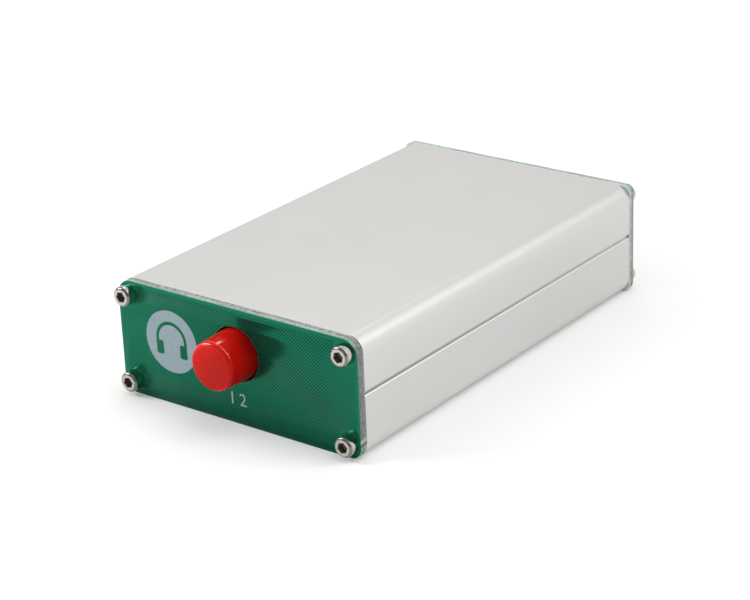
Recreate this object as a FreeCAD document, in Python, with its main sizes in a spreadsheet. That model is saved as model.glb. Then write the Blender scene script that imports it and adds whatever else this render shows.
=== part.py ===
import FreeCAD, Part
import math
import os
import sys

import Sketcher

# Passive headphone switch: split aluminium box, two circuit-board end panels, a latching push switch
# with a red cap, and three 3.5 mm stereo sockets at the rear.
# Frame: X to the right, Y to the rear, Z up. The origin is at the middle of the underside.
# All lengths are millimetres.

V3 = FreeCAD.Vector
doc = FreeCAD.newDocument("headphone_switch")
sheet = doc.addObject("Spreadsheet::Sheet", "dims")


class Dim:
    """A length: the expression that binds it and its present value."""

    def __init__(self, text, value):
        self.text, self.value = text, float(value)

    def _join(self, other, sign, swap=False):
        other = other if isinstance(other, Dim) else Dim(repr(float(other)), other)
        a, b = (other, self) if swap else (self, other)
        value = {"+": a.value + b.value, "-": a.value - b.value, "*": a.value * b.value}.get(sign)
        if sign == "/":
            value = a.value / b.value
        return Dim("(%s %s %s)" % (a.text, sign, b.text), value)

    def __add__(self, o):
        return self._join(o, "+")

    def __radd__(self, o):
        return self._join(o, "+", True)

    def __sub__(self, o):
        return self._join(o, "-")

    def __rsub__(self, o):
        return self._join(o, "-", True)

    def __mul__(self, o):
        return self._join(o, "*")

    def __rmul__(self, o):
        return self._join(o, "*", True)

    def __truediv__(self, o):
        return self._join(o, "/")

    def __neg__(self):
        return Dim("(0 - %s)" % self.text, -self.value)


row_count = 0


def dim(alias, value, note=""):
    """Puts one driving dimension in the sheet and hands back its Dim."""
    global row_count
    row_count += 1
    sheet.set("A%d" % row_count, alias)
    sheet.set("B%d" % row_count, "%.10g" % value)
    sheet.set("C%d" % row_count, note)
    sheet.setAlias("B%d" % row_count, alias)
    return Dim("dims." + alias, value)


def num(x):
    return x.value if isinstance(x, Dim) else float(x)


def bind(obj, prop, x):
    if isinstance(x, Dim):
        obj.setExpression(prop, x.text)
    else:
        obj.setExpression(prop, repr(float(x)))


def place(obj, x=0.0, y=0.0, z=0.0, rot=None):
    obj.Placement = FreeCAD.Placement(V3(num(x), num(y), num(z)), rot or FreeCAD.Rotation())
    for axis, value in (("x", x), ("y", y), ("z", z)):
        if isinstance(value, Dim):
            obj.setExpression(".Placement.Base." + axis, value.text)


# ---------------------------------------------------------------- driving dimensions
# shells
shell_len = dim("shell_len", 105, "length of each extrusion half")
shell_wide = dim("shell_wide", 66, "outer width")
shell_high = dim("shell_high", 27, "outer height of the closed pair")
shell_corner = dim("shell_corner", 3.4, "outer corner radius")
wall = dim("wall", 1.5, "wall thickness")
lip_top = dim("lip_top", 14.2, "top of the outer lip on the tongue side")
skirt_top = dim("skirt_top", 12.05, "top of the skirt on the groove side")
tongue_top = dim("tongue_top", 16.2, "top of the tongue")
tongue_in = dim("tongue_in", 31.0, "inner face of the tongue")
tongue_out = dim("tongue_out", 32.1, "outer face of the tongue")
skirt_in = dim("skirt_in", 32.2, "inner face of the skirt")
seat_out = dim("seat_out", 32.55, "face of the bead that floors the seam groove")
seat_top = dim("seat_top", 14.85, "top of that bead")
slot_floor = dim("slot_floor", 7.7, "floor of the board slot")
slot_gap = dim("slot_gap", 1.8, "height of the board slot")
rib_thick = dim("rib_thick", 1.0, "thickness of each slot rib")
rib_tip = dim("rib_tip", 29.3, "half distance between facing rib tips")
boss_ring = dim("boss_ring", 2.6, "outer radius of a screw channel")
boss_bore = dim("boss_bore", 1.25, "bore radius of a screw channel")
boss_slit = dim("boss_slit", 1.2, "opening of a screw channel")
screw_x = dim("screw_x", 30.0, "half the screw pitch across")
screw_z = dim("screw_z", 3.25, "screw height above the underside")
end_break = dim("end_break", 0.08, "broken edge of the sawn ends")
# panels
panel_thick = dim("panel_thick", 2.0, "end panel thickness")
panel_top_corner = dim("panel_top_corner", 3.8, "upper corner radius of the front panel")
panel_low_corner = dim("panel_low_corner", 2.8, "lower corner radius of the front panel")
rear_corner = dim("rear_corner", 2.0, "corner radius of the rear panel")
panel_screw_hole = dim("panel_screw_hole", 1.45, "screw clearance hole radius")
button_hole = dim("button_hole", 6.4, "button hole radius")
button_z = dim("button_z", 16.35, "button axis height")
# screws
head_ring = dim("head_ring", 2.25, "screw head radius")
head_high = dim("head_high", 2.5, "screw head height")
shank_ring = dim("shank_ring", 1.2, "screw shank radius")
shank_len = dim("shank_len", 8.0, "screw shank length")
hex_flats = dim("hex_flats", 2.0, "hexagon socket across flats")
hex_deep = dim("hex_deep", 1.3, "hexagon socket depth")
# button
cap_front = dim("cap_front", 62.5, "cap front face, forward of the middle")
cap_front_ring = dim("cap_front_ring", 5.6, "cap radius at its front")
cap_back_ring = dim("cap_back_ring", 6.06, "cap radius at its open end")
cap_len = dim("cap_len", 11.0, "cap length")
cap_wall = dim("cap_wall", 1.3, "cap wall")
cap_round = dim("cap_round", 0.7, "rounded front rim")
stem_side = dim("stem_side", 3.0, "square stem side")
travel = dim("travel", 3.5, "full push of the button")
# board
board_wide = dim("board_wide", 62.4, "main board width")
board_len = dim("board_len", 104.6, "main board length")
board_thick = dim("board_thick", 1.6, "main board thickness")
pin_end = dim("pin_end", 6.0, "lowest end of the pins")
# switch
switch_front = dim("switch_front", -44.0, "front of the switch housing")
switch_back = dim("switch_back", -26.0, "back of the switch housing")
switch_half = dim("switch_half", 5.0, "half width of the switch housing")
switch_top = dim("switch_top", 21.4, "top of the switch housing")
base_thick = dim("base_thick", 1.5, "terminal plate thickness")
frame_thick = dim("frame_thick", 0.5, "frame sheet thickness")
wire_ring = dim("wire_ring", 0.3, "latch wire radius")
pivot_y = dim("pivot_y", -28.0, "latch wire pivot")
latch_reach = dim("latch_reach", 9.0, "pivot to cam tip")
spring_ring = dim("spring_ring", 2.6, "return spring coil radius")
spring_wire = dim("spring_wire", 0.2, "return spring wire radius")
# sockets
jack_pitch = dim("jack_pitch", 19.0, "socket pitch")
jack_up = dim("jack_up", 5.2, "socket axis above the board")
jack_bore = dim("jack_bore", 1.8, "socket bore radius")
jack_reach = dim("jack_reach", 14.0, "socket bore length")
jack_half = dim("jack_half", 5.6, "half width of a socket body")
jack_body_len = dim("jack_body_len", 11.4, "socket body length")
jack_body_high = dim("jack_body_high", 10.2, "socket body height")
thread_ring = dim("thread_ring", 2.95, "thread crest radius")
thread_pitch = dim("thread_pitch", 0.5, "thread pitch")
bush_out = dim("bush_out", 3.7, "bush length outside the panel")
flange_ring = dim("flange_ring", 3.95, "bush flange radius")
nut_flats = dim("nut_flats", 8.0, "socket nut across flats")
nut_thick = dim("nut_thick", 2.0, "socket nut thickness")
washer_ring = dim("washer_ring", 4.7, "washer outer radius")
washer_thick = dim("washer_thick", 0.5, "washer thickness")

half_len = shell_len / 2
half_wide = shell_wide / 2
front_face = -(half_len + panel_thick)
rear_face = half_len + panel_thick
board_low = slot_floor
board_top = slot_floor + board_thick
jack_z = board_top + jack_up
doc.recompute()

PLANE = {"XY": "XY_Plane", "XZ": "XZ_Plane", "YZ": "YZ_Plane"}
AXIS_ROT = {
    "z": FreeCAD.Rotation(),
    "y": FreeCAD.Rotation(V3(1, 0, 0), -90),
    "x": FreeCAD.Rotation(V3(0, 1, 0), 90),
}


# ---------------------------------------------------------------- bodies from sketches
def new_body(name):
    return doc.addObject("PartDesign::Body", name)


def origin_item(body, role):
    return [f for f in body.Origin.OriginFeatures if f.Role == role][0]


def sketch_on(body, name, plane, level=0.0):
    """A sketch on one of the body's origin planes, moved to a level along the global axis normal to it."""
    sk = body.newObject("Sketcher::SketchObject", name)
    sk.AttachmentSupport = [(origin_item(body, PLANE[plane]), "")]
    sk.MapMode = "FlatFace"
    shift = -level if plane == "XZ" else level + 0.0
    sk.AttachmentOffset = FreeCAD.Placement(V3(0, 0, num(shift)), FreeCAD.Rotation())
    if isinstance(shift, Dim):
        sk.setExpression(".AttachmentOffset.Base.z", shift.text)
    return sk


def pin_point(sk, geo, pos, x, y):
    i = sk.addConstraint(Sketcher.Constraint("DistanceX", -1, 1, geo, pos, num(x)))
    if isinstance(x, Dim):
        sk.setExpression("Constraints[%d]" % i, x.text)
    i = sk.addConstraint(Sketcher.Constraint("DistanceY", -1, 1, geo, pos, num(y)))
    if isinstance(y, Dim):
        sk.setExpression("Constraints[%d]" % i, y.text)


def add_loop(sk, points):
    """A closed polygon whose corners are all bound to the sheet."""
    first = sk.GeometryCount
    n = len(points)
    xy = [V3(num(p[0]), num(p[1]), 0) for p in points]
    for i in range(n):
        sk.addGeometry(Part.LineSegment(xy[i], xy[(i + 1) % n]), False)
    for i in range(n):
        sk.addConstraint(Sketcher.Constraint("Coincident", first + i, 2, first + (i + 1) % n, 1))
    for i in range(n):
        pin_point(sk, first + i, 1, points[i][0], points[i][1])


def add_circle(sk, x, y, radius):
    geo = sk.addGeometry(Part.Circle(V3(num(x), num(y), 0), V3(0, 0, 1), num(radius)), False)
    pin_point(sk, geo, 3, x, y)
    i = sk.addConstraint(Sketcher.Constraint("Radius", geo, num(radius)))
    if isinstance(radius, Dim):
        sk.setExpression("Constraints[%d]" % i, radius.text)


def slab(body, kind, name, plane, low, high, loops=(), circles=()):
    """Pads or pockets loops and circles from low to high along the plane's normal."""
    low = low if isinstance(low, Dim) else Dim(repr(float(low)), low)
    high = high if isinstance(high, Dim) else Dim(repr(float(high)), high)
    sk = sketch_on(body, name + "_sketch", plane, (low + high) / 2)
    for points in loops:
        add_loop(sk, points)
    for c in circles:
        add_circle(sk, *c)
    doc.recompute()
    before = body.Shape.Volume if body.Tip else 0.0
    feat = body.newObject("PartDesign::" + kind, name)
    feat.Profile = sk
    feat.AllowMultiFace = True
    feat.SideType = "Symmetric"
    feat.Length = num(high - low)
    bind(feat, "Length", high - low)
    body.Tip = feat
    doc.recompute()
    after = body.Shape.Volume
    if kind == "Pocket" and not after < before - 1e-6:
        sys.exit("%s cut nothing" % name)
    if kind == "Pad" and not after > before + 1e-6:
        sys.exit("%s added nothing" % name)
    return feat


def turned(body, kind, name, points, plane="XZ", axis="V_Axis"):
    """A full revolution, or its groove, of a polygon about the sketch's own axis."""
    sk = sketch_on(body, name + "_sketch", plane, 0.0)
    add_loop(sk, points)
    doc.recompute()
    before = body.Shape.Volume if body.Tip else 0.0
    feat = body.newObject("PartDesign::" + kind, name)
    feat.Profile = sk
    feat.ReferenceAxis = (sk, [axis])
    feat.Angle = 360
    body.Tip = feat
    doc.recompute()
    after = body.Shape.Volume
    if (kind == "Groove") == (after > before):
        sys.exit("%s changed the volume the wrong way" % name)
    return feat


def edges_where(shape, test):
    """Names of the edges whose every sampled point passes the test."""
    names = []
    for i, e in enumerate(shape.Edges):
        pts = e.discretize(5)
        if all(test(p, e) for p in pts):
            names.append("Edge%d" % (i + 1))
    return names


def dress(body, kind, name, size, test, expected=None):
    base = body.Tip
    names = edges_where(base.Shape, test)
    if not names or (expected is not None and len(names) != expected):
        sys.exit("%s found %d edges" % (name, len(names)))
    feat = body.newObject("PartDesign::" + kind, name)
    feat.Base = (base, names)
    prop = "Radius" if kind == "Fillet" else "Size"
    setattr(feat, prop, num(size))
    bind(feat, prop, size)
    body.Tip = feat
    doc.recompute()
    return feat


# ---------------------------------------------------------------- primitives and booleans
def box(name, x0, x1, y0, y1, z0, z1):
    b = doc.addObject("Part::Box", name)
    for prop, lo, hi in (("Length", x0, x1), ("Width", y0, y1), ("Height", z0, z1)):
        size = (hi - lo) if isinstance(hi, Dim) or isinstance(lo, Dim) else float(hi) - float(lo)
        setattr(b, prop, num(size))
        bind(b, prop, size)
    place(b, x0, y0, z0)
    return b


def rod(name, x, y, z, radius, length, along="z"):
    c = doc.addObject("Part::Cylinder", name)
    c.Radius, c.Height = num(radius), num(length)
    bind(c, "Radius", radius)
    bind(c, "Height", length)
    place(c, x, y, z, AXIS_ROT[along])
    return c


def cone(name, x, y, z, r_low, r_high, length, along="z"):
    c = doc.addObject("Part::Cone", name)
    c.Radius1, c.Radius2, c.Height = num(r_low), num(r_high), num(length)
    bind(c, "Radius1", r_low)
    bind(c, "Radius2", r_high)
    bind(c, "Height", length)
    place(c, x, y, z, AXIS_ROT[along])
    return c


def ball(name, x, y, z, radius):
    s = doc.addObject("Part::Sphere", name)
    s.Radius = num(radius)
    bind(s, "Radius", radius)
    place(s, x, y, z)
    return s


def fuse(name, shapes):
    f = doc.addObject("Part::MultiFuse", name)
    f.Shapes = shapes
    f.Refine = True
    return f


def cut(name, base, tools):
    tool = tools if not isinstance(tools, list) else (tools[0] if len(tools) == 1 else fuse(name + "_tools", tools))
    c = doc.addObject("Part::Cut", name)
    c.Base, c.Tool = base, tool
    c.Refine = True
    return c


def group(name, shapes):
    g = doc.addObject("Part::Compound", name)
    g.Links = shapes
    return g


nodes = {}


def node(name, obj):
    obj.Label = name
    nodes[name] = obj
    return obj


# ---------------------------------------------------------------- the two extrusion halves
def shell_half(name):
    """One half: floor, two side walls, a tongue on the right, a skirt on the left, board slots and
    open screw channels. The other half is the same extrusion turned over."""
    body = new_body(name)
    wi = half_wide - wall
    rib_low = slot_floor - rib_thick
    slot_high = slot_floor + slot_gap
    rib_high = slot_high + rib_thick
    ledge = shell_high - tongue_top
    profile = [
        (-half_wide, 0.0),
        (half_wide, 0.0),
        (half_wide, lip_top - 0.25),
        (half_wide - 0.25, lip_top),
        (seat_out, lip_top),
        (seat_out, seat_top),
        (tongue_out, seat_top),
        (tongue_out, tongue_top - 0.25),
        (tongue_out - 0.25, tongue_top),
        (tongue_in + 0.25, tongue_top),
        (tongue_in, tongue_top - 0.25),
        (tongue_in, lip_top - 1.6),
        (wi, lip_top - 2.1),
        (wi, rib_high),
        (rib_tip, rib_high),
        (rib_tip, slot_high),
        (wi, slot_high),
        (wi, slot_floor),
        (rib_tip, slot_floor),
        (rib_tip, rib_low),
        (wi, rib_low),
        (wi, wall),
        (-wi, wall),
        (-wi, rib_low),
        (-rib_tip, rib_low),
        (-rib_tip, slot_floor),
        (-wi, slot_floor),
        (-wi, slot_high),
        (-rib_tip, slot_high),
        (-rib_tip, rib_high),
        (-wi, rib_high),
        (-wi, ledge),
        (-skirt_in, ledge),
        (-skirt_in, skirt_top),
        (-half_wide + 0.15, skirt_top),
        (-half_wide, skirt_top - 0.15),
    ]
    slab(body, "Pad", name + "_profile", "XZ", -half_len, half_len, [profile])
    hw, r = num(half_wide), num(shell_corner)
    dress(body, "Fillet", name + "_corners", shell_corner,
          lambda p, e: abs(abs(p.x) - hw) < 1e-4 and abs(p.z) < 1e-4, 2)
    slab(body, "Pad", name + "_channels", "XZ", -half_len, half_len, [],
         [(-screw_x, screw_z, boss_ring), (screw_x, screw_z, boss_ring)])
    slit = []
    for side in (-1, 1):
        x0, x1 = side * screw_x, side * (screw_x - boss_ring - 0.6)
        slit.append([(x0, screw_z - boss_slit / 2), (x1, screw_z - boss_slit / 2),
                     (x1, screw_z + boss_slit / 2), (x0, screw_z + boss_slit / 2)])
    slab(body, "Pocket", name + "_slits", "XZ", -half_len - 1, half_len + 1, slit)
    slab(body, "Pocket", name + "_bores", "XZ", -half_len - 1, half_len + 1, [],
         [(-screw_x, screw_z, boss_bore), (screw_x, screw_z, boss_bore)])
    # The sawn ends have a broken outer edge.
    hl = num(half_len)

    def outer_end(p, e):
        if abs(abs(p.y) - hl) > 1e-4 or p.z > num(skirt_top):
            return False
        flat_side = abs(abs(p.x) - hw) < 1e-4
        flat_low = abs(p.z) < 1e-4
        dx, dz = abs(p.x) - (hw - r), p.z - r
        arc = dx > -1e-6 and dz < 1e-6 and abs(math.hypot(dx, dz) - r) < 1e-3
        return flat_side or flat_low or arc

    dress(body, "Chamfer", name + "_ends", end_break,
          lambda p, e: outer_end(p, e) or (abs(abs(p.y) - hl) < 1e-4 and abs(p.x - hw) < 1e-4), 10)
    return body


lower = shell_half("lower_shell")
node("lower_shell", lower)
upper = shell_half("upper_shell")
upper.Placement = FreeCAD.Placement(V3(0, 0, num(shell_high)), FreeCAD.Rotation(V3(0, 1, 0), 180))
upper.setExpression(".Placement.Base.z", shell_high.text)
node("upper_shell", upper)


# ---------------------------------------------------------------- end panels
def end_panel(name, low, high, top_corner, low_corner, holes):
    body = new_body(name)
    slab(body, "Pad", name + "_sheet", "XZ", low, high,
         [[(-half_wide, 0.0), (half_wide, 0.0), (half_wide, shell_high), (-half_wide, shell_high)]])
    hw, hh = num(half_wide), num(shell_high)
    dress(body, "Fillet", name + "_top_corners", top_corner,
          lambda p, e: abs(abs(p.x) - hw) < 1e-4 and abs(p.z - hh) < 1e-4, 2)
    dress(body, "Fillet", name + "_low_corners", low_corner,
          lambda p, e: abs(abs(p.x) - hw) < 1e-4 and abs(p.z) < 1e-4, 2)
    screws = [(sx * screw_x, sz, panel_screw_hole) for sx in (-1, 1) for sz in (screw_z, shell_high - screw_z)]
    slab(body, "Pocket", name + "_screw_holes", "XZ", low - 1, high + 1, [], screws)
    slab(body, "Pocket", name + "_holes", "XZ", low - 1, high + 1, [], holes)
    return body


node("front_panel", end_panel("front_panel", front_face, -half_len, panel_top_corner, panel_low_corner, [(0.0, button_z, button_hole)]))
jack_xs = [("common", Dim("0", 0.0)), ("output_1", -jack_pitch), ("output_2", jack_pitch + 0.0)]
node("rear_panel", end_panel("rear_panel", half_len, rear_face, rear_corner, rear_corner,
                             [(x, jack_z, thread_ring + 0.15) for _, x in jack_xs]))


# ---------------------------------------------------------------- panel screws
def socket_screw(name, x, z, side):
    """Socket-head cap screw along Y, its head's underside on the panel's outer face."""
    body = new_body(name)
    hr, hh, sr, sl = head_ring, head_high, shank_ring, shank_len
    turned(body, "Revolution", name + "_turned", [
        (0.0, hh), (hr - 0.45, hh), (hr - 0.2, hh - 0.08), (hr - 0.05, hh - 0.25), (hr, hh - 0.5), (hr, 0.12),
        (hr - 0.12, 0.0), (sr, 0.0), (sr, -sl + 0.4), (sr - 0.4, -sl), (0.0, -sl)])
    # hexagon socket, cut down from the head's face
    flat = hex_flats / 2
    corner = flat * 1.1547005
    hexagon = [(corner, 0.0), (corner / 2, flat), (-corner / 2, flat), (-corner, 0.0),
               (-corner / 2, -flat), (corner / 2, -flat)]
    slab(body, "Pocket", name + "_socket", "XY", hh - hex_deep, hh + 1, [hexagon])
    turn = FreeCAD.Rotation(V3(1, 0, 0), 90 if side < 0 else -90)
    face = front_face if side < 0 else rear_face
    body.Placement = FreeCAD.Placement(V3(num(x), num(face), num(z)), turn)
    for axis, value in (("x", x), ("y", face), ("z", z)):
        body.setExpression(".Placement.Base." + axis, value.text)
    return body


for side, name in ((-1, "front_panel_screws"), (1, "rear_panel_screws")):
    four = []
    for i, (sx, sz) in enumerate(((-1, screw_z), (1, screw_z), (-1, shell_high - screw_z), (1, shell_high - screw_z))):
        four.append(socket_screw("%s_%d" % (name[:-1], i + 1), sx * screw_x, sz + 0.0, side))
    node(name, group(name, four))

# ---------------------------------------------------------------- button cap
# Slightly conical cap, hollow behind, with a square-holed boss that grips the stem.
cap = new_body("button_cap")
turned(cap, "Revolution", "cap_outer", [
    (0.0, 0.0), (cap_front_ring - cap_round, 0.0), (cap_front_ring - cap_round * 0.62, 0.0 + cap_round * 0.08),
    (cap_front_ring - cap_round * 0.29, cap_round * 0.29), (cap_front_ring - cap_round * 0.08, cap_round * 0.62),
    (cap_front_ring + 0.03, cap_round), (cap_back_ring, cap_len), (0.0, cap_len)])
turned(cap, "Groove", "cap_hollow", [
    (2.6, 1.5), (cap_front_ring - cap_wall, 1.5), (cap_back_ring - cap_wall, cap_len + 1.0), (2.6, cap_len + 1.0)])
slab(cap, "Pocket", "cap_boss_step", "XY", cap_len - 0.7, cap_len + 1, [], [(0.0, 0.0, Dim("3.0", 3.0))])
half_hole = stem_side / 2 + 0.05
slab(cap, "Pocket", "cap_socket", "XY", 4.5, cap_len + 1, [[
    (-half_hole, -half_hole), (half_hole, -half_hole), (half_hole, half_hole), (-half_hole, half_hole)]])
# four webs between the boss and the wall
web = 0.45
slab(cap, "Pad", "cap_webs", "XY", 1.0, 8.0, [
    [(2.4, -web), (4.6, -web), (4.6, web), (2.4, web)], [(-4.6, -web), (-2.4, -web), (-2.4, web), (-4.6, web)],
    [(-web, 2.4), (web, 2.4), (web, 4.6), (-web, 4.6)], [(-web, -4.6), (web, -4.6), (web, -2.4), (-web, -2.4)]])
cap.Placement = FreeCAD.Placement(V3(0, -num(cap_front), num(button_z)), FreeCAD.Rotation(V3(1, 0, 0), -90))
cap.setExpression(".Placement.Base.y", (-cap_front).text)
cap.setExpression(".Placement.Base.z", button_z.text)
node("button_cap", cap)

# ---------------------------------------------------------------- switch: plunger with its heart cam
hs = stem_side / 2
slider_low, slider_high = button_z - 4.3, button_z + 3.5
slider_front = switch_front + 0.9
stem = box("stem", -hs, hs, -cap_front + 4.8, slider_front + 0.5, button_z - hs, button_z + hs)
collar = rod("collar", 0.0, -cap_front + 10.8, button_z, 3.1, 1.0, "y")
slider = box("slider", -4.0, 4.0, slider_front, slider_front + 9.0, slider_low, slider_high)
cam = new_body("cam_groove")
tip_y = pivot_y - latch_reach
slab(cam, "Pad", "cam_track", "XY", slider_high - 1.2, slider_high + 1.0, [[
    (-0.5, tip_y + 0.6), (-0.5, tip_y - 0.3), (-1.4, tip_y - 3.3), (-1.4, tip_y - 4.1),
    (1.4, tip_y - 4.1), (1.4, tip_y - 3.3), (0.5, tip_y - 0.3), (0.5, tip_y + 0.6)]])
slab(cam, "Pocket", "cam_heart", "XY", slider_high - 2.0, slider_high + 2.0, [[
    (0.0, tip_y - 2.1), (-0.3, tip_y - 3.1), (0.0, tip_y - 2.85), (0.3, tip_y - 3.1)]])
pockets = [box("contact_seat_%d" % i, s * 2.5 - 1.0, s * 2.5 + 1.0, slider_front + 0.6, slider_front + 6.4,
               slider_low - 1, slider_low + 1.4) for i, s in enumerate((-1, 1))]
plunger = cut("switch_plunger", fuse("plunger_blank", [stem, collar, slider]), [cam] + pockets)
node("switch_plunger", plunger)

# ---------------------------------------------------------------- switch: contacts that ride with the plunger
base_top = board_top + base_thick
for side, name in ((-1, "moving_contact_left"), (1, "moving_contact_right")):
    x = side * 2.5
    y0 = slider_front + 0.9
    strip = box(name + "_strip", x - 0.7, x + 0.7, y0, y0 + 5.2, base_top + 0.45, base_top + 0.7)
    legs = [box(name + "_leg_%d" % i, x - 0.7, x + 0.7, ya, ya + 0.25, base_top + 0.45, slider_low + 1.2)
            for i, ya in enumerate((y0, y0 + 4.95))]
    node(name, fuse(name, [strip] + legs))

# ---------------------------------------------------------------- switch: housing, base, terminals, frame
sf, sb, sh = switch_front, switch_back, switch_half
blank = box("housing_blank", -sh, sh, sf, sb, base_top, switch_top)
room = box("housing_room", -4.2, 4.2, sf + 0.8, sb - 3.2, base_top - 1, button_z + 3.7)
mouth = box("housing_mouth", -hs - 0.1, hs + 0.1, sf - 1, sf + 1, button_z - hs - 0.1, button_z + hs + 0.1)
window = box("housing_window", -2.2, 2.2, sf + 1.5, pivot_y + 0.6, button_z + 3.5, switch_top + 1)
pivot_hole = rod("pivot_hole", 0.0, pivot_y, button_z + 0.8, wire_ring + 0.05, 5.0)
node("switch_housing", cut("switch_housing", blank, [room, mouth, window, pivot_hole]))

rows = [-41.5, -38.0, -34.5]
plate = box("base_blank", -sh, sh, sf, sb, board_top, base_top)
holes, pins = [], []
for i, (px, py) in enumerate([(sx * 2.5, y) for sx in (-1, 1) for y in rows]):
    holes.append(box("terminal_hole_%d" % i, px - 0.32, px + 0.32, py - 0.32, py + 0.32, board_top - 1, base_top + 1))
    head = cone("terminal_head_%d" % i, px, py, base_top, 0.95, 0.7, 0.4)
    leg = box("terminal_leg_%d" % i, px - 0.3, px + 0.3, py - 0.3, py + 0.3, pin_end, base_top + 0.1)
    pins.append(fuse("terminal_%d" % i, [head, leg]))
node("switch_base", cut("switch_base", plate, holes))
node("switch_terminals", group("switch_terminals", pins))

ft = frame_thick
front_plate = box("frame_front", -sh - ft, sh + ft, sf - ft, sf, board_top + 0.4, switch_top + ft)
top_plate = box("frame_top", -sh - ft, sh + ft, sf - ft, sb, switch_top, switch_top + ft)
cheeks = [box("frame_left", -sh - ft, -sh, sf - ft, sb, base_top + 0.4, switch_top + ft),
          box("frame_right", sh, sh + ft, sf - ft, sb, base_top + 0.4, switch_top + ft)]
leg_spots = [(s, y) for s in (-1, 1) for y in (sf + 2.0, sb - 3.5)]
legs = [box("frame_leg_%d" % i, (-sh - ft) if s < 0 else sh, -sh if s < 0 else (sh + ft), y, y + 1.5, pin_end, base_top + 1)
        for i, (s, y) in enumerate(leg_spots)]
dimple = cone("frame_dimple", 0.0, pivot_y + 0.0, button_z + 4.55, 0.35, 0.5, switch_top - button_z - 4.5)
frame_hole = box("frame_mouth", -hs - 0.2, hs + 0.2, sf - 2, sf + 1, button_z - hs - 0.2, button_z + hs + 0.2)
node("switch_frame", cut("switch_frame", fuse("frame_blank", [front_plate, top_plate, dimple] + cheeks + legs), [frame_hole]))

# ---------------------------------------------------------------- switch: latch wire
wz = button_z + 4.2
run = rod("latch_run", 0.0, tip_y, wz, wire_ring, latch_reach, "y")
rear_leg = rod("latch_rear_leg", 0.0, pivot_y, button_z + 1.0, wire_ring, 3.2)
front_leg = rod("latch_front_leg", 0.0, tip_y, button_z + 2.6, wire_ring, 1.6)
bends = [ball("latch_bend_rear", 0.0, pivot_y, wz, wire_ring), ball("latch_bend_front", 0.0, tip_y, wz, wire_ring)]
node("latch_pin", fuse("latch_pin", [run, rear_leg, front_leg] + bends))

# ---------------------------------------------------------------- switch: return spring
coil_front = -cap_front + 11.8
coil_len = (sf - ft) - coil_front
helix = doc.addObject("Part::Helix", "spring_helix")
helix.Radius = num(spring_ring)
helix.Pitch = num(coil_len - 2 * spring_wire) / 5.0
helix.Height = num(coil_len - 2 * spring_wire - 0.04)
bind(helix, "Radius", spring_ring)
bind(helix, "Pitch", (coil_len - 2 * spring_wire) / 5)
bind(helix, "Height", coil_len - 2 * spring_wire - 0.04)
# The wire's section is an octagon.
ring = doc.addObject("Part::RegularPolygon", "spring_section")
ring.Polygon = 8
ring.Circumradius = num(spring_wire)
bind(ring, "Circumradius", spring_wire)
ring.Placement = FreeCAD.Placement(V3(num(spring_ring), 0, 0), FreeCAD.Rotation(V3(1, 0, 0), 90))
ring.setExpression(".Placement.Base.x", spring_ring.text)
sweep = doc.addObject("Part::Sweep", "return_spring")
sweep.Sections = [ring]
doc.recompute()
sweep.Spine = (helix, ["Edge%d" % (i + 1) for i in range(len(helix.Shape.Edges))])
sweep.Solid = True
sweep.Frenet = True
sweep.Placement = FreeCAD.Placement(V3(0, num(coil_front + spring_wire + 0.02), num(button_z)), FreeCAD.Rotation(V3(1, 0, 0), -90))
sweep.setExpression(".Placement.Base.y", (coil_front + spring_wire + 0.02).text)
sweep.setExpression(".Placement.Base.z", button_z.text)
node("return_spring", sweep)

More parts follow.
